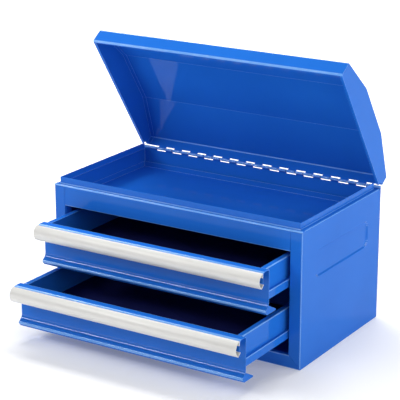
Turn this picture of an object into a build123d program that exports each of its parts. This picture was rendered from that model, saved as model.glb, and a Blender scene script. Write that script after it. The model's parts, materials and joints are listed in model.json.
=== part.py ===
"""Portable steel tool box: top tray under a hinged lid, two drawers below.

Millimetres. The origin is the centre of the base, X runs to the right, -Y is the front and +Z is up.
The lid stands part way open and both drawers are pulled out, as in the picture.
"""
import math
import os

from build123d import *

os.makedirs("parts", exist_ok=True)

# ---- whole object ----
case_w = 510.0
case_d = 290.0
ledge_z = 247.0
rim_h = 12.0
rim_in = 7.5
sheet = 1.0
bend = 1.6

# ---- front frame ----
stile_w = 22.0
rail_h = 23.0
header_h = 38.0
seam = 0.7
ledge_bend = 2.5
return_w = 10.0
tray_lip = 10.0

# ---- pressed panel in each side ----
press_depth = 2.2
press_taper = 50.0
press_len = 195.0
press_h = 49.0
press_r = 12.0
press_z = 175.5
press_y = 1.0

# ---- hinge ----
pin_r = 1.5
pin_play = 0.1
bore_sides = 8
knuckle_pitch = 36.0
lid_knuckles = 13
knuckle_l = 17.0
window_l = 20.0
window_edge = 5.3
lid_window_edge = 7.8

# ---- lid ----
lid_open = 56.0
lid_face_h = 29.0
lid_h = 54.5
lid_slope_d = 88.0
lid_bend = 3.0
lid_gap = 0.6
lid_hem = 5.0
lid_end_w = 9.0

# ---- drawers ----
panel_play = 3.0
panel_h = 79.0
drawer_rise = 2.5
lip_out = 10.4
lip_z = 7.0
face_z = 16.0
foot_d = 24.0
foot_bend = 3.5
face_bend = 9.0
knee_bend = 4.5
shelf_out = 18.5
tongue_h = 19.0
box_d = 265.0
box_in = 9.0
box_flange = 10.0
box_z = 26.5
back_drop = 8.0
back_flange = 12.0
liner_t = 1.2
upper_out = 75.4
lower_out = 147.4

# ---- drawer slides ----
runner_w = 5.5
runner_h = 14.0
slide_play = 0.4
slide_back = 12.0
post_d = 18.0

# ---- aluminium pulls ----
pull_wall = 1.5
pull_h = 27.0
pull_out = 32.0
pull_back = 16.3

half_w = case_w / 2
front_y = -case_d / 2
rear_y = case_d / 2
header_z = ledge_z - header_h
stile_top = ledge_z - ledge_bend - seam
rim_z = ledge_z + rim_h
barrel_r = pin_r + pin_play + sheet
hinge_y = rear_y - barrel_r
hinge_z = ledge_z + 2.0
lid_z = ledge_z + lid_gap
opening_half = half_w - stile_w
panel_half = opening_half - panel_play
bay_h = (header_z - rail_h) / 2
wall_x = panel_half - box_in + sheet * 3
post_x = opening_half - sheet
runner_z = box_z + runner_h
face_closed_y = front_y + lip_out
hinge_row = [knuckle_pitch * (i - (lid_knuckles - 1) / 2) for i in range(lid_knuckles)]


def bent(points, plane, length, radius=bend, side=Side.RIGHT):
    """Adds a sheet bent along an open line of points, with its thickness on one side of the line."""
    with BuildSketch(plane) as section:
        with BuildLine():
            FilletPolyline(*points, radius=radius)
            offset(amount=sheet, side=side)
        make_face()
    extrude(section.sketch, amount=length / 2, both=True)


def block(low, high, mode=Mode.ADD):
    """Adds or cuts an upright box given by two corners."""
    middle = [(a + b) / 2 for a, b in zip(low, high)]
    with Locations(tuple(middle)):
        Box(*[b - a for a, b in zip(low, high)], mode=mode)


def save(piece, name):
    piece.label = name
    export_step(piece, f"parts/{name}.step")


# ---- side panels: front stile, wall and rear flange folded from one sheet, stepped in at the rim ----
with BuildPart() as right_side_panel:
    side_path = [
        (half_w - return_w - 2, rear_y - sheet),
        (half_w, rear_y - sheet),
        (half_w, front_y),
        (opening_half, front_y),
    ]
    wall_top = ledge_z - 2 * sheet
    bent(side_path, Plane.XY.offset((wall_top + sheet) / 2), wall_top - sheet)
    # the stile ends under the bend of the ledge, and meets the bottom rail in a mitre
    block((opening_half - 1, front_y - 1, stile_top), (half_w + 1, front_y + sheet, rim_z), Mode.SUBTRACT)
    with BuildSketch(Plane.XZ.offset(-front_y)):
        with BuildLine():
            Polyline(
                (opening_half - 1, rail_h + 1 + seam),
                (half_w + 1, rail_h - stile_w - 1 + seam),
                (half_w + 1, -1),
                (opening_half - 1, -1),
                close=True,
            )
        make_face()
    extrude(amount=-sheet, mode=Mode.SUBTRACT)
    block((half_w - 2 * return_w, rear_y - 2 * sheet, ledge_z - 7), (half_w - sheet, rear_y, ledge_z), Mode.SUBTRACT)
    # ledge and rim
    ledge_end = hinge_y - barrel_r - 1.2
    ledge_path = [
        (half_w, wall_top - 2),
        (half_w, ledge_z),
        (half_w - rim_in, ledge_z),
        (half_w - rim_in, rim_z),
    ]
    ledge_start = front_y + rim_in + 0.5 + sheet
    bent(
        ledge_path,
        Plane.XZ.offset(-(ledge_start + ledge_end) / 2),
        ledge_end - ledge_start,
        side=Side.LEFT,
    )
    block((half_w - rim_in - 2, ledge_end - 7, ledge_z + 0.01), (half_w, ledge_end + 1, rim_z + 1), Mode.SUBTRACT)
    block((half_w - sheet, front_y + sheet, wall_top), (half_w, ledge_start, ledge_z - sheet))
    # pressed panel
    with BuildSketch(Plane.YZ.offset(half_w)) as press:
        with Locations((press_y, press_z)):
            RectangleRounded(press_len + 2 * sheet, press_h + 2 * sheet, press_r + sheet)
    extrude(press.sketch, amount=-press_depth - sheet, taper=press_taper)
    with BuildSketch(Plane.YZ.offset(half_w)) as press_cut:
        with Locations((press_y, press_z)):
            RectangleRounded(press_len, press_h, press_r)
    extrude(press_cut.sketch, amount=-press_depth, taper=press_taper, mode=Mode.SUBTRACT)
save(right_side_panel.part, "right_side_panel")

with BuildPart() as left_side_panel:
    mirror(right_side_panel.part, about=Plane.YZ)
save(left_side_panel.part, "left_side_panel")

# ---- bottom: floor, front rail with a return, short rear upstand ----
with BuildPart() as bottom_panel:
    bent(
        [
            (rear_y - sheet, 14.0),
            (rear_y - sheet, 0),
            (front_y, 0),
            (front_y, rail_h),
            (front_y + return_w, rail_h),
        ],
        Plane.YZ,
        case_w,
    )
    for side in (-1, 1):
        with BuildSketch(Plane.XZ.offset(-front_y)):
            with BuildLine():
                Polyline(
                    (side * (opening_half - 1), rail_h + 1),
                    (side * (half_w + 1), rail_h - stile_w - 1),
                    (side * (half_w + 1), rail_h + 1),
                    close=True,
                )
            make_face()
        extrude(amount=-return_w - 1, mode=Mode.SUBTRACT)
        edge = sorted((side * (half_w - return_w - 2.5), side * (half_w + 1)))
        block((edge[0], rear_y - 3, sheet), (edge[1], rear_y, 20), Mode.SUBTRACT)
        strip = sorted((side * (half_w - sheet - bend), side * (half_w + 1)))
        block((strip[0], front_y + sheet, sheet), (strip[1], rear_y, 30), Mode.SUBTRACT)
        clear = sorted((side * (post_x - seam), side * (half_w + 1)))
        block((clear[0], front_y + sheet, rail_h - 2), (clear[1], front_y + return_w + 1, rail_h + 1), Mode.SUBTRACT)
save(bottom_panel.part, "bottom_panel")

# ---- back panel with its knuckles rolled from the same sheet ----
with BuildPart() as back_panel:
    block((-half_w, rear_y - sheet, sheet), (half_w, rear_y, hinge_z))
    with Locations((0, hinge_y, hinge_z)):
        Cylinder(barrel_r, case_w, rotation=(0, 90, 0))
    with Locations((0, hinge_y, hinge_z)):
        Cylinder(pin_r, case_w, rotation=(0, 90, 0), mode=Mode.SUBTRACT)
    bored = case_w - knuckle_pitch
    with BuildSketch(Plane.YZ) as bore:
        with Locations((hinge_y, hinge_z)):
            RegularPolygon(pin_r + pin_play, bore_sides, major_radius=False)
    extrude(bore.sketch, amount=bored / 2, both=True, mode=Mode.SUBTRACT)
    for x in hinge_row:
        block(
            (x - window_l / 2, rear_y - 2 * barrel_r - 1, hinge_z - window_edge),
            (x + window_l / 2, rear_y + 1, hinge_z + barrel_r + 1),
            Mode.SUBTRACT,
        )
save(back_panel.part, "back_panel")

with BuildPart() as hinge_pin:
    with Locations((0, hinge_y, hinge_z)):
        Cylinder(pin_r, case_w - 1.0, rotation=(0, 90, 0))
    chamfer(hinge_pin.edges().filter_by(GeomType.CIRCLE), 0.4)
save(hinge_pin.part, "hinge_pin")

# ---- front header: return, face, ledge and rim folded from one sheet; the face sits between the stiles ----
with BuildPart() as front_header:
    bent(
        [
            (front_y + return_w + 2, header_z),
            (front_y, header_z),
            (front_y, ledge_z),
            (front_y + rim_in + 0.5, ledge_z),
            (front_y + rim_in + 0.5, rim_z),
        ],
        Plane.YZ,
        case_w,
        [bend, ledge_bend, bend],
    )
    for side in (-1, 1):
        cut = sorted((side * (half_w - rim_in), side * (half_w + 1)))
        block((cut[0], front_y - 1, ledge_z), (cut[1], front_y + 20, rim_z + 1), Mode.SUBTRACT)
        under = sorted((side * (half_w - sheet), side * (half_w + 1)))
        block((under[0], front_y + sheet, header_z - 1), (under[1], front_y + 20, ledge_z - sheet), Mode.SUBTRACT)
        cheek = sorted((side * (opening_half - seam), side * (half_w + 1)))
        block((cheek[0], front_y - 1, header_z - 1), (cheek[1], front_y + 2 * sheet, ledge_z - ledge_bend), Mode.SUBTRACT)
save(front_header.part, "front_header")

# ---- tray floor with an upstand all round ----
with BuildPart() as tray_floor:
    tray_half = half_w - sheet
    tray_front = front_y + return_w + 4
    tray_rear = rear_y - 2 * sheet - bend
    block((-tray_half, tray_front, header_z - sheet), (tray_half, tray_rear, header_z + tray_lip))
    fillet(tray_floor.edges().group_by(Axis.Z)[0], bend)
    offset(amount=-sheet, openings=tray_floor.faces().sort_by(Axis.Z)[-1])
save(tray_floor.part, "tray_floor")


# ---- uprights behind the frame, and the fixed rails they carry ----
def upright(side, y):
    """A channel with its web towards the drawers and its flanges against the side wall."""
    with BuildPart() as post:
        channel = [
            (half_w - sheet, y - post_d / 2),
            (post_x, y - post_d / 2),
            (post_x, y + post_d / 2),
            (half_w - sheet, y + post_d / 2),
        ]
        post_h = header_z - 2 * sheet - 0.2
        bent(channel, Plane.XY.offset(sheet + post_h / 2), post_h)
    return post.part if side > 0 else mirror(post.part, about=Plane.YZ)


front_post_y = front_y + 2 * sheet + post_d / 2
rear_post_y = rear_y - slide_back - post_d / 2
for place, y in (("front", front_post_y), ("rear", rear_post_y)):
    for hand, side in (("left", -1), ("right", 1)):
        save(upright(side, y), f"{place}_{hand}_post")


def fixed_rail(side, z):
    """A folded rail: keeper leg on top, web, floor and an upstand that the runner hangs on."""
    web = post_x - sheet
    rail_len = rear_post_y + post_d / 2 - face_closed_y - 6
    middle = (rear_post_y + post_d / 2 + face_closed_y + 6) / 2
    with BuildPart() as rail:
        channel = [
            (wall_x + 1.2, z + runner_z + slide_play + sheet),
            (post_x, z + runner_z + slide_play + sheet),
            (post_x, z + box_z - 3.5),
            (wall_x + 1.2, z + box_z - 3.5),
            (wall_x + 1.2, z + runner_z - sheet - slide_play),
        ]
        bent(channel, Plane.XZ.offset(-middle), rail_len, radius=0.7 * bend)
    return rail.part if side > 0 else mirror(rail.part, about=Plane.YZ)


bays = {"lower": rail_h + drawer_rise, "upper": rail_h + bay_h + drawer_rise}
outs = {"lower": lower_out, "upper": upper_out}
for bay, z in bays.items():
    for hand, side in (("left", -1), ("right", 1)):
        save(fixed_rail(side, z), f"{bay}_{hand}_rail")


# ---- drawers ----
def drawer_front(y, z):
    """Panel folded into a foot below and a shelf with a hanging tongue above."""
    radii = [bend, foot_bend, face_bend, bend, knee_bend]
    with BuildPart() as panel:
        bent(
            [
                (y + foot_d, z),
                (y - 4.5, z),
                (y - lip_out, z + lip_z),
                (y, z + face_z),
                (y, z + panel_h - sheet),
                (y - shelf_out, z + panel_h - sheet),
                (y - shelf_out, z + panel_h - tongue_h),
            ],
            Plane.YZ,
            2 * panel_half,
            radii,
        )
        for side in (-1, 1):
            with BuildSketch(Plane.YZ.offset(side * panel_half)):
                with BuildLine():
                    Polyline(
                        (y + foot_d, z + 0.4),
                        (y - 4.3, z + 0.4),
                        (y - lip_out + 0.9, z + lip_z),
                        (y + 0.5, z + face_z - 0.4),
                        (y + foot_d, z + 2.5),
                        close=True,
                    )
                make_face()
            extrude(amount=-side * sheet)
    return panel.part


def drawer_pull(y, z):
    """Extruded pull: a short leg on the tongue, a bulging face and a hooked lower edge."""
    top = z + panel_h
    leg = y - shelf_out - sheet
    face = y - pull_out
    with BuildPart() as pull:
        with BuildSketch(Plane.YZ) as section:
            with BuildLine():
                Polyline((leg, top - 9), (leg, top - 1.2), (leg - 4, top - 1.2))
                ThreePointArc((leg - 4, top - 1.2), (face, top - 0.45 * pull_h), (y - 23, top - pull_h - 1))
                Line((y - 23, top - pull_h - 1), (y - pull_back, top - pull_h + 5))
                offset(amount=pull_wall, side=Side.LEFT, kind=Kind.INTERSECTION)
            make_face()
        extrude(amount=panel_half - 0.2, both=True)
    return pull.part


def drawer_box(y, z):
    """Floor and two walls folded from one sheet, each wall flanged inwards at the top."""
    with BuildPart() as box:
        tray = [
            (-wall_x + box_flange, z + panel_h),
            (-wall_x, z + panel_h),
            (-wall_x, z + box_z),
            (wall_x, z + box_z),
            (wall_x, z + panel_h),
            (wall_x - box_flange, z + panel_h),
        ]
        bent(tray, Plane.XZ.offset(-(y + sheet + box_d / 2)), box_d, side=Side.LEFT)
    return box.part


def drawer_back(y, z):
    end = y + sheet + box_d
    inner = wall_x - sheet
    with BuildPart() as back:
        bent(
            [
                (end - back_flange, z + panel_h - back_drop),
                (end, z + panel_h - back_drop),
                (end, z + box_z + sheet),
            ],
            Plane.YZ,
            2 * inner,
        )
        for side in (-1, 1):
            edge = sorted((side * (inner - 0.7), side * (inner + 1)))
            block((edge[0], end - 2, z + box_z), (edge[1], end + 1, z + box_z + sheet + 0.7), Mode.SUBTRACT)
    return back.part


def runner(y, z, side):
    """Inverted angle on the drawer wall that hangs over the fixed rail."""
    with BuildPart() as angle:
        hook = [
            (wall_x, z + runner_z),
            (wall_x + runner_w, z + runner_z),
            (wall_x + runner_w, z + box_z),
        ]
        bent(hook, Plane.XZ.offset(-(y + sheet + box_d / 2)), box_d, radius=0.7 * bend)
    return angle.part if side > 0 else mirror(angle.part, about=Plane.YZ)


def drawer_liner(y, z):
    inner = wall_x - sheet - 1.5
    floor = z + box_z + sheet
    with BuildPart() as mat:
        block((-inner, y + sheet + 2, floor), (inner, y + box_d - 2, floor + liner_t))
        chamfer(mat.edges().filter_by(Axis.Z), 3)
    return mat.part


for bay, z in bays.items():
    y = face_closed_y - outs[bay]
    save(drawer_front(y, z), f"{bay}_drawer_front")
    save(drawer_pull(y, z), f"{bay}_drawer_pull")
    save(drawer_box(y, z), f"{bay}_drawer_box")
    save(drawer_back(y, z), f"{bay}_drawer_back")
    save(drawer_liner(y, z), f"{bay}_drawer_liner")
    for hand, side in (("left", -1), ("right", 1)):
        save(runner(y, z, side), f"{bay}_drawer_{hand}_runner")

# ---- lid, drawn shut and then turned about the hinge ----
hinge_axis = Axis((0, hinge_y, hinge_z), (1, 0, 0))
lid_top = lid_z + lid_h
crown_half = case_d / 2 - lid_slope_d
shell_path = [
    (rear_y, hinge_z),
    (rear_y, lid_z + lid_face_h),
    (crown_half, lid_top),
    (-crown_half, lid_top),
    (front_y, lid_z + lid_face_h),
    (front_y, lid_z),
    (front_y + lid_hem, lid_z),
]

with BuildPart() as lid_shell_shut:
    bent(shell_path, Plane.YZ, case_w, radius=lid_bend, side=Side.LEFT)
    with Locations((0, hinge_y, hinge_z)):
        Cylinder(barrel_r, case_w, rotation=(0, 90, 0))
    with BuildSketch(Plane.YZ) as lid_bore:
        with Locations((hinge_y, hinge_z)):
            RegularPolygon(pin_r + pin_play, bore_sides, major_radius=False)
    extrude(lid_bore.sketch, amount=half_w, both=True, mode=Mode.SUBTRACT)
    ends = [-half_w - 1] + [x for x in hinge_row] + [half_w + 1]
    for a, b in zip(ends, ends[1:]):
        low = a if a < -half_w else a + knuckle_l / 2
        high = b if b > half_w else b - knuckle_l / 2
        block(
            (low, rear_y - 2 * barrel_r - 1, hinge_z - barrel_r - 1),
            (high, rear_y + 1, hinge_z + lid_window_edge),
            Mode.SUBTRACT,
        )
with BuildPart() as lid_shell:
    add(lid_shell_shut.part.rotate(hinge_axis, -lid_open))
save(lid_shell.part, "lid_shell")

with BuildPart() as lid_end_shut:
    with BuildSketch(Plane.YZ.offset(half_w)) as outline:
        with BuildLine():
            Polyline(
                (rear_y, lid_z - sheet),
                *shell_path[1:5],
                (front_y, lid_z - sheet),
                close=True,
            )
        make_face()
        offset(amount=-sheet)
        fillet(outline.vertices().group_by(Axis.Y)[0:0] + outline.vertices().sort_by(Axis.Z)[2:], lid_bend - sheet)
    extrude(outline.sketch, amount=-lid_end_w)
    with BuildSketch(Plane.YZ.offset(half_w - sheet)) as hollow:
        add(outline.sketch_local)
        offset(amount=-sheet, mode=Mode.REPLACE)
    extrude(hollow.sketch, amount=-lid_end_w, mode=Mode.SUBTRACT)
    corner = (half_w - lid_end_w - 1, front_y - 1, lid_z - 1)
    block(corner, (half_w - lid_hem, rear_y + 1, lid_z + sheet + 0.01), Mode.SUBTRACT)
    block(corner, (half_w + 1, front_y + lid_hem, lid_z + sheet), Mode.SUBTRACT)
    block(corner, (half_w + 1, front_y + 0.9 * lid_bend, lid_z + 0.9 * lid_bend), Mode.SUBTRACT)
    with Locations((half_w - lid_end_w / 2, hinge_y, hinge_z)):
        Cylinder(lid_window_edge, lid_end_w + 2, rotation=(0, 90, 0), mode=Mode.SUBTRACT)
with BuildPart() as lid_right_end:
    add(lid_end_shut.part.rotate(hinge_axis, -lid_open))
save(lid_right_end.part, "lid_right_end")

with BuildPart() as lid_left_end:
    mirror(lid_right_end.part, about=Plane.YZ)
save(lid_left_end.part, "lid_left_end")
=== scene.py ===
"""Portable steel tool box: finishes, finer pulls and mats, studio and camera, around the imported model."""
import json
import math

import bmesh
import bpy
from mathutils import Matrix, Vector


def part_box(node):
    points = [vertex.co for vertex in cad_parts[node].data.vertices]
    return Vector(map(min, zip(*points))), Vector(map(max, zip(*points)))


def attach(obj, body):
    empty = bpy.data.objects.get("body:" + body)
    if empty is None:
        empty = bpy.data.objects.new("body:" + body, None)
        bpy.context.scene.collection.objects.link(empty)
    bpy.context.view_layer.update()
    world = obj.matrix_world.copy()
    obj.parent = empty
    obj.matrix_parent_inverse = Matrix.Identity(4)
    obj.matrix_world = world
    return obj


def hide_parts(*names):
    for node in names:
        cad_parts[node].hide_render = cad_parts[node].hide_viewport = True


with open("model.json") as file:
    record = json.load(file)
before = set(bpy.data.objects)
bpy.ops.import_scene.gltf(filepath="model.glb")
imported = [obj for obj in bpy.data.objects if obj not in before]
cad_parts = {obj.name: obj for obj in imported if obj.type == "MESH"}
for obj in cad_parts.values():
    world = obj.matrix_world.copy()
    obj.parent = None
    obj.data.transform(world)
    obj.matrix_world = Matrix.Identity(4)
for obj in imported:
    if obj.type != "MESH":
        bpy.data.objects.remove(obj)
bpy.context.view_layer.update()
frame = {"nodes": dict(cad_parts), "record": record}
bpy.ops.object.select_all(action="DESELECT")

MM = 0.001
BODY_OF = {node: body for body, nodes in frame["record"]["behaviour"]["bodies"].items() for node in nodes}
SLOT_OF = {row["node"]: row["material_slot"] for row in frame["record"]["subparts"]}

# ---------------------------------------------------------------- camera and picture
PICTURE = 400  # pixels each way
FOCAL = 1584.1  # in pixels of that picture
CAMERA_AT = (1.4295, -2.3148, 1.0877)
CAMERA_TURN = 32.34  # degrees to the right of straight on
CAMERA_DIP = 17.69  # degrees below level


def aim_camera():
    data = bpy.data.cameras.new("camera")
    data.sensor_width = 36.0
    data.lens = FOCAL / PICTURE * data.sensor_width
    data.clip_start, data.clip_end = 0.05, 50
    camera = bpy.data.objects.new("camera", data)
    camera.location = CAMERA_AT
    camera.rotation_euler = (math.radians(90 - CAMERA_DIP), 0, math.radians(CAMERA_TURN))
    bpy.context.collection.objects.link(camera)
    bpy.context.scene.camera = camera


# ---------------------------------------------------------------- shader expressions
class Field:
    """A material's socket; adding to it or multiplying it makes the Math node."""

    def __init__(self, tree, socket):
        self.tree, self.socket = tree, socket

    def node(self, kind, settings=(), out=0, **inputs):
        made = self.tree.nodes.new(kind)
        for name, value in dict(settings).items():
            setattr(made, name, value)
        for name, value in inputs.items():
            name = int(name[1:]) if name[0] == "_" else name.replace("_", " ")
            socket = made.inputs[name]
            if isinstance(value, Field):
                self.tree.links.new(value.socket, socket)
            else:
                socket.default_value = value
        return Field(self.tree, made.outputs[out])

    def maths(self, operation, *values):
        sockets = {f"_{i}": v for i, v in enumerate(values)}
        return self.node("ShaderNodeMath", {"operation": operation}, **sockets)

    def __add__(self, other):
        return self.maths("ADD", self, other)

    def __radd__(self, other):
        return self.maths("ADD", other, self)

    def __mul__(self, other):
        return self.maths("MULTIPLY", self, other)

    def __rmul__(self, other):
        return self.maths("MULTIPLY", other, self)

    def ramp(self, low, high, to_low=0.0, to_high=1.0):
        """This field's stretch from low to high, spread from to_low to to_high and held there outside it."""
        limits = {"From_Min": low, "From_Max": high, "To_Min": to_low, "To_Max": to_high}
        return self.node("ShaderNodeMapRange", {"clamp": True}, Value=self, **limits)

    def blend(self, first, second):
        """A colour: first where this field is 0 and second where it is 1."""
        return self.node("ShaderNodeMix", {"data_type": "RGBA"}, out=2, _0=self, _6=first, _7=second)


def material(name):
    """A new material, its shader node and the object's own coordinates."""
    made = bpy.data.materials.new(name)
    made.use_nodes = True
    tree = made.node_tree
    shader = tree.nodes["Principled BSDF"]
    place = tree.nodes.new("ShaderNodeTexCoord")
    return made, shader, Field(tree, place.outputs["Object"])


def noise(place, scale, detail=2.0, rough=0.5, stretch=(1, 1, 1)):
    moved = place.node("ShaderNodeMapping", Vector=place, Scale=stretch)
    return place.node("ShaderNodeTexNoise", Vector=moved, Scale=scale, Detail=detail, Roughness=rough)


def feed(shader, **fields):
    """Links each field to the shader's socket of that name, and sets a number or colour on the socket."""
    for name, field in fields.items():
        socket = shader.inputs[name.replace("_", " ")]
        if isinstance(field, Field):
            field.tree.links.new(field.socket, socket)
        else:
            socket.default_value = field


def bump(place, height, strength, distance):
    return place.node("ShaderNodeBump", Height=height, Strength=strength, Distance=distance)


# ---------------------------------------------------------------- finishes
BLUE = (0.0165, 0.160, 0.65, 1)
BLUE_DEEP = (0.0145, 0.146, 0.61, 1)
# lighter blue for edges and outer and tight bends: a painted highlight
HIGHLIGHT_BLUE = (0.190, 0.420, 0.88, 1)
HIGHLIGHT_BLUE_DEEP = (0.100, 0.320, 0.80, 1)
SATIN = (0.74, 0.735, 0.71, 1)
SATIN_SHADE = (0.67, 0.665, 0.645, 1)
MAT = (0.008, 0.012, 0.100, 1)
MAT_WORN = (0.011, 0.016, 0.130, 1)
STEEL = (0.55, 0.55, 0.57, 1)
STEEL_SHADE = (0.42, 0.42, 0.44, 1)


def glossy_blue(name, coat, light=BLUE, deep=BLUE_DEEP):
    """Glossy baked enamel on sheet steel: faint orange peel and a slight clouding of the colour."""
    made, shader, place = material(name)
    cloud = noise(place, 7.0, 3.0)
    peel = noise(place, 260.0, 1.0)
    feed(
        shader,
        Base_Color=cloud.ramp(0.3, 0.7).blend(deep, light),
        Roughness=cloud.ramp(0.2, 0.8, 0.26, 0.32),
        Normal=bump(place, peel, 0.06, 0.0004),
        Coat_Weight=coat,
        Coat_Roughness=0.06,
        Specular_IOR_Level=0.0,
    )
    return made


def satin_aluminium():
    """Anodised extrusion: a warm white satin skin with drawing lines along its length."""
    made, shader, place = material("satin_aluminium")
    lines = noise(place, 900.0, 3.0, 0.6, stretch=(0.02, 1, 1))
    cloud = noise(place, 12.0, 2.0)
    feed(
        shader,
        Base_Color=(lines * 0.5 + cloud * 0.5).ramp(0.3, 0.7).blend(SATIN_SHADE, SATIN),
        Metallic=0.15,
        Roughness=lines.ramp(0.2, 0.8, 0.42, 0.52),
        Normal=bump(place, lines, 0.10, 0.0003),
    )
    return made


def rubber_mat():
    made, shader, place = material("rubber_mat")
    grain = noise(place, 700.0, 2.0)
    cloud = noise(place, 18.0, 2.0)
    feed(
        shader,
        Base_Color=cloud.ramp(0.3, 0.7).blend(MAT, MAT_WORN),
        Roughness=grain.ramp(0.2, 0.8, 0.55, 0.75),
        Normal=bump(place, grain, 0.3, 0.0004),
        Specular_IOR_Level=0.25,
    )
    return made


def bright_steel():
    made, shader, place = material("bright_steel")
    streaks = noise(place, 600.0, 2.0, stretch=(0.05, 1, 1))
    feed(
        shader,
        Base_Color=streaks.ramp(0.3, 0.7).blend(STEEL_SHADE, STEEL),
        Metallic=1.0,
        Roughness=streaks.ramp(0.2, 0.8, 0.25, 0.4),
    )
    return made


FINISH = {
    "blue_paint": glossy_blue("blue_enamel", 0.32),
    "pull_aluminium": satin_aluminium(),
    "drawer_liner": rubber_mat(),
    "pin_steel": bright_steel(),
}
SIDE_FINISH = glossy_blue("blue_enamel_flanks", 0.35)  # walls, lid ends and drawer boxes: a trace more gloss
# edges, outer bends and tight bends get a lighter blue, which is a painted highlight, and full gloss; wide
# hollow bends get full gloss in the plain blue
EDGE_HIGHLIGHT_FINISH = glossy_blue("blue_enamel_edge_highlights", 1.0, HIGHLIGHT_BLUE, HIGHLIGHT_BLUE_DEEP)
BEND_FINISH = glossy_blue("blue_enamel_bends", 1.0)
FLANKS = (
    "left_side_panel", "right_side_panel", "lid_left_end", "lid_right_end",
    "lower_drawer_box", "upper_drawer_box",
)


def finish_of(node):
    return SIDE_FINISH if node in FLANKS else FINISH[SLOT_OF[node]]


def finish_nodes():
    for node in SLOT_OF:
        mesh = frame["nodes"][node].data
        mesh.materials.clear()
        mesh.materials.append(finish_of(node))


# ---------------------------------------------------------------- modelling helpers
EDGE = 0.28 * MM  # rounding that paint leaves on the edge of a 1 mm sheet
CREASE = math.radians(38)  # folds sharper than this are edges and not bends
FLAT = math.radians(2)  # folds flatter than this are no bend
SKIN_FLAT = math.radians(0.5)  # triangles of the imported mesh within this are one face
DOUBLES = 0.02 * MM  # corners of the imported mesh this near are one
BEND_FACET = 1.6 * MM  # widest facet of a bend
TIGHT_FACET = 0.7 * MM  # widest facet of a tight bend
NEAR = 0.01 * MM  # a point this near a height lies on it


def stand_in(piece, name, node):
    """Names a finished piece, gives a bare one the finish of a node, and puts it in that node's place."""
    piece.name = name
    piece.data.name = name
    if not piece.data.materials:
        piece.data.materials.append(finish_of(node))
    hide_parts(node)
    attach(piece, BODY_OF[node])
    piece.select_set(False)


def take_up(piece):
    """Makes a piece the only one selected."""
    bpy.ops.object.select_all(action="DESELECT")
    piece.select_set(True)
    bpy.context.view_layer.objects.active = piece


def apply_all(piece):
    for modifier in list(piece.modifiers):
        bpy.ops.object.modifier_apply(modifier=modifier.name)


def finish_bends(piece):
    """Gives, in edit mode, outer and tight bends the second finish, whose lighter blue is a painted
    highlight, and wide hollow bends the third.
    """
    grid = bmesh.from_edit_mesh(piece.data)
    for face in grid.faces:
        turns = [
            edge for edge in face.edges
            if len(edge.link_faces) == 2 and FLAT < edge.calc_face_angle() < CREASE
        ]
        width = face.calc_area() / max(edge.calc_length() for edge in face.edges)
        if len(turns) >= 2 and width < BEND_FACET:
            outer = all(edge.is_convex for edge in turns)
            face.material_index = 1 if outer or width < TIGHT_FACET else 2
    bmesh.update_edit_mesh(piece.data)


def softened(node):
    """A painted copy of a sheet-metal node: one skin, its cut edges rounded and its bends shaded smooth."""
    source = frame["nodes"][node]
    piece = bpy.data.objects.new(node, source.data.copy())
    piece.data.materials.append(EDGE_HIGHLIGHT_FINISH)
    piece.data.materials.append(BEND_FINISH)
    bpy.context.collection.objects.link(piece)
    take_up(piece)
    bpy.ops.object.mode_set(mode="EDIT")
    bpy.ops.mesh.select_all(action="SELECT")
    bpy.ops.mesh.remove_doubles(threshold=DOUBLES)
    bpy.ops.mesh.dissolve_limited(angle_limit=SKIN_FLAT)
    finish_bends(piece)
    bpy.ops.object.mode_set(mode="OBJECT")
    rounding = piece.modifiers.new("rounding", "BEVEL")
    # the rounded cut edges take the second finish, whose lighter blue is a painted highlight
    rounding.material = 1
    rounding.width = EDGE
    rounding.segments = 2
    rounding.limit_method = "ANGLE"
    rounding.angle_limit = CREASE
    apply_all(piece)
    bpy.ops.object.shade_smooth_by_angle(angle=CREASE)
    level = piece.modifiers.new("level", "WEIGHTED_NORMAL")
    level.weight = 100
    level.keep_sharp = True
    apply_all(piece)
    stand_in(piece, node + "_painted", node)


# ---------------------------------------------------------------- pulls, mats and hinge pin
PULL_WALL = 1.5 * MM
PULL_SHELF = 4.0 * MM  # flat top between the drawer's tongue and the bulge
PULL_LEG = 7.8 * MM  # part that lies on the tongue
PULL_TOP_IN = 8.5 * MM  # how far behind the foremost line the bulge begins
PULL_BULGE_DOWN = 10.95 * MM  # height of the foremost line below the top
PULL_FOOT_IN = 9.0 * MM  # how far behind the foremost line the bulge ends
PULL_HOOK = (6.7 * MM, 6.0 * MM)  # the hook's run backwards and upwards
PULL_FACETS = 160  # of the whole circle that the bulge is cut from
PULL_CUT_NEAR = 0.001 * MM  # the circle is cut by its planes to this
PULL_EDGE = 0.22 * MM  # wanted rounding; the short facet beside the hook's fold holds it to less
PULL_EDGE_FOLD = math.radians(75)  # only edges sharper than this are rounded, so not the hook's fold
MAT_CORNER = 4.0 * MM
MAT_EDGE = 0.4 * MM
PIN_FACETS = 24
PIN_DOME = 0.8 * MM


def circle_through(a, b, c):
    """Centre and radius of the circle through three points of a plane."""
    (ax, ay), (bx, by), (cx, cy) = a, b, c
    d = 2 * (ax * (by - cy) + bx * (cy - ay) + cx * (ay - by))
    a2, b2, c2 = ax * ax + ay * ay, bx * bx + by * by, cx * cx + cy * cy
    x = (a2 * (by - cy) + b2 * (cy - ay) + c2 * (ay - by)) / d
    y = (a2 * (cx - bx) + b2 * (ax - cx) + c2 * (bx - ax)) / d
    return (x, y), math.hypot(ax - x, ay - y)


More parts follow.
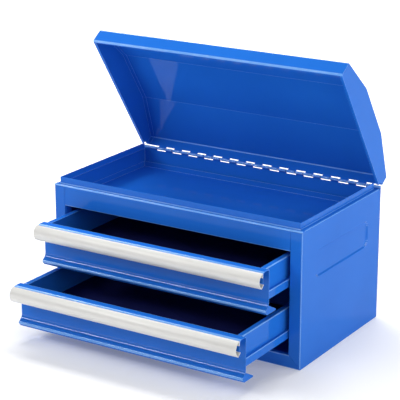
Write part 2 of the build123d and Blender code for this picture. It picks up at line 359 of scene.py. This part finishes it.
def pick(piece, wanted, kind="VERT"):
    """Selects, in edit mode, the vertices or faces that wanted accepts by place (and normal)."""
    bpy.ops.mesh.select_mode(type=kind)
    bpy.ops.mesh.select_all(action="DESELECT")
    grid = bmesh.from_edit_mesh(piece.data)
    for element in grid.verts if kind == "VERT" else grid.faces:
        spot = element.co if kind == "VERT" else element.calc_center_median()
        if wanted(spot, element.normal):
            element.select_set(True)
    grid.select_flush(True)
    bmesh.update_edit_mesh(piece.data)


def grow(*steps):
    """Extrudes what is selected by each step in turn."""
    for step in steps:
        bpy.ops.mesh.extrude_region_move(TRANSFORM_OT_translate={"value": step})


def settle(piece):
    """Puts a piece's place into its mesh."""
    take_up(piece)
    bpy.ops.object.transform_apply(location=True, rotation=True, scale=True)


def pull_piece(bay):
    """The extrusion's end line is drawn as an arc with a leg and a hook, then drawn out to its length."""
    node = f"{bay}_drawer_pull"
    low, high = [Vector(corner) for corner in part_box(node)]
    face, top, foot = low.y, high.z, low.z
    start = (face + PULL_TOP_IN, top)
    end = (face + PULL_FOOT_IN, foot)
    centre, radius = circle_through(start, (face, top - PULL_BULGE_DOWN), end)
    inward = face - (centre[0] - radius)  # the arc's own foremost line is put on the CAD pull's
    centre, start, end = [(y + inward, z) for y, z in (centre, start, end)]
    bpy.ops.mesh.primitive_circle_add(
        vertices=PULL_FACETS, radius=radius, location=(low.x, *centre), rotation=(0, math.pi / 2, 0)
    )
    piece = bpy.context.object
    settle(piece)
    bpy.ops.object.mode_set(mode="EDIT")
    for point, normal in ((start, (0, 0, 1)), (end, (0, 0, -1))):
        bpy.ops.mesh.select_all(action="SELECT")
        bpy.ops.mesh.bisect(
            plane_co=(low.x, *point), plane_no=normal, clear_outer=True, threshold=PULL_CUT_NEAR
        )
    pick(piece, lambda spot, normal: spot.y > centre[0])
    bpy.ops.mesh.delete(type="VERT")
    pick(piece, lambda spot, normal: abs(spot.z - top) < NEAR)
    grow((0, PULL_SHELF, 0), (0, 0, -PULL_LEG))
    pick(piece, lambda spot, normal: abs(spot.z - foot) < NEAR)
    grow((0, PULL_HOOK[0], PULL_HOOK[1]))
    bpy.ops.mesh.select_all(action="SELECT")
    grow((high.x - low.x, 0, 0))
    bpy.ops.mesh.select_all(action="SELECT")
    bpy.ops.mesh.normals_make_consistent(inside=False)
    bpy.ops.object.mode_set(mode="OBJECT")
    return piece, node


def finish_pull(piece, node):
    wall = piece.modifiers.new("wall", "SOLIDIFY")
    wall.thickness = PULL_WALL
    wall.offset = -1
    rounding = piece.modifiers.new("rounding", "BEVEL")
    rounding.width = PULL_EDGE
    rounding.segments = 2
    rounding.limit_method = "ANGLE"
    rounding.angle_limit = PULL_EDGE_FOLD
    apply_all(piece)
    bpy.ops.object.shade_smooth_by_angle(angle=CREASE)
    stand_in(piece, node + "_extrusion", node)


def mat_piece(bay):
    """A cut sheet of rubber: rounded corners and a slightly rolled top edge."""
    node = f"{bay}_drawer_liner"
    low, high = [Vector(corner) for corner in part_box(node)]
    bpy.ops.mesh.primitive_cube_add(size=1, location=(low + high) / 2, scale=high - low)
    piece = bpy.context.object
    settle(piece)
    bpy.ops.object.mode_set(mode="EDIT")
    bpy.ops.mesh.select_mode(type="EDGE")
    bpy.ops.mesh.select_all(action="DESELECT")
    grid = bmesh.from_edit_mesh(piece.data)
    for edge in grid.edges:
        edge.select_set(abs(edge.verts[0].co.z - edge.verts[1].co.z) > 0.5 * MM)
    bmesh.update_edit_mesh(piece.data)
    bpy.ops.mesh.bevel(offset=MAT_CORNER, segments=6)
    pick(piece, lambda spot, normal: normal.z > 0.9, "FACE")
    bpy.ops.mesh.bevel(offset=MAT_EDGE, segments=2)
    bpy.ops.object.mode_set(mode="OBJECT")
    bpy.ops.object.shade_smooth_by_angle(angle=CREASE)
    stand_in(piece, node + "_cut", node)


def pin_piece():
    """The hinge rod, with its ends peened to low domes."""
    low, high = [Vector(corner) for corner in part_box("hinge_pin")]
    radius = (high.z - low.z) / 2
    bpy.ops.mesh.primitive_cylinder_add(
        vertices=PIN_FACETS,
        radius=radius,
        depth=high.x - low.x,
        location=(low + high) / 2,
        rotation=(0, math.pi / 2, 0),
    )
    piece = bpy.context.object
    settle(piece)
    bpy.ops.object.mode_set(mode="EDIT")
    pick(piece, lambda spot, normal: abs(normal.x) > 0.9, "FACE")
    bpy.ops.mesh.bevel(offset=PIN_DOME, segments=4)
    bpy.ops.object.mode_set(mode="OBJECT")
    bpy.ops.object.shade_smooth_by_angle(angle=CREASE)
    stand_in(piece, "hinge_pin_peened", "hinge_pin")


# ---------------------------------------------------------------- studio
FLOOR_SIZE = 14
FLOOR_Z = -0.4 * MM  # just under the base
LAMPS_FACE = (0, 0, 0.2)
SKY_GLOW = 0.18
LAMPS = {  # soft boxes: place, width and height in metres, brightness of the panel
    "right": ((3.2, -1.3, 1.3), 2.0, 1.7, 2.0),
    "right_back": ((3.4, 0.6, 1.4), 2.1, 1.8, 3.2),
    "front": ((-1.2, -1.65, 1.5), 1.6, 0.25, 16.0),
    "crown": ((-1.25, 0.75, 1.85), 1.3, 0.35, 12.0),
    "over_front": ((0.2, -1.2, 2.3), 1.4, 0.8, 2.6),
    "over_rear": ((0.0, 0.95, 2.5), 1.6, 0.9, 8.5),
    "rear": ((0.2, 2.9, 0.45), 1.8, 0.7, 1.5),
}


def studio():
    bpy.ops.mesh.primitive_plane_add(size=FLOOR_SIZE, location=(0, 0, FLOOR_Z))
    floor = bpy.context.object
    floor.name = "studio_floor"
    bpy.ops.object.transform_apply(location=True)
    made, shader, place = material("pale_floor")
    away = place.node("ShaderNodeVectorMath", {"operation": "LENGTH"}, out=1, _0=place)
    feed(
        shader,
        Base_Color=noise(place, 2.0).ramp(0.3, 0.7).blend((0.86, 0.86, 0.86, 1), (0.89, 0.89, 0.89, 1)),
        Roughness=0.8,
        # the floor glows, faintly near the box and brightly away from it: painted light, which leaves the
        # floor darker round the box
        Emission_Color=away.ramp(0.5, 2.4).blend((0.16, 0.16, 0.16, 1), (0.8, 0.8, 0.8, 1)),
        Emission_Strength=1.0,
        Specular_IOR_Level=0.1,
    )
    floor.data.materials.append(made)
    floor.select_set(False)

    world = bpy.data.worlds.new("soft_white")
    bpy.context.scene.world = world
    world.use_nodes = True
    tree = world.node_tree
    sky = tree.nodes["Background"]
    sky.inputs["Color"].default_value = (1, 1, 1, 1)
    seen = Field(tree, tree.nodes.new("ShaderNodeLightPath").outputs["Is Camera Ray"])
    tree.links.new(seen.ramp(0, 1, SKY_GLOW, 1.0).socket, sky.inputs["Strength"])

    for name, (at, wide, tall, glow) in LAMPS.items():
        data = bpy.data.lights.new(name, "AREA")
        data.shape = "RECTANGLE"
        data.size, data.size_y = wide, tall
        data.energy = math.pi * wide * tall * glow
        lamp = bpy.data.objects.new(name, data)
        lamp.location = at
        lamp.rotation_euler = (Vector(LAMPS_FACE) - Vector(at)).to_track_quat("-Z", "Y").to_euler()
        bpy.context.collection.objects.link(lamp)
    bpy.context.scene.view_settings.view_transform = "Standard"


# ---------------------------------------------------------------- the whole box
CASE_SHEETS = (
    "left_side_panel", "right_side_panel", "front_header", "bottom_panel",
    "lid_left_end", "lid_right_end", "lid_shell", "back_panel", "tray_floor",
)
DRAWER_SHEETS = ("front", "box", "back", "left_runner", "right_runner")

finish_nodes()
for node in CASE_SHEETS:
    softened(node)
for bay in ("lower", "upper"):
    for sheet in DRAWER_SHEETS:
        softened(f"{bay}_drawer_{sheet}")
    finish_pull(*pull_piece(bay))
    mat_piece(bay)
pin_piece()
studio()
aim_camera()
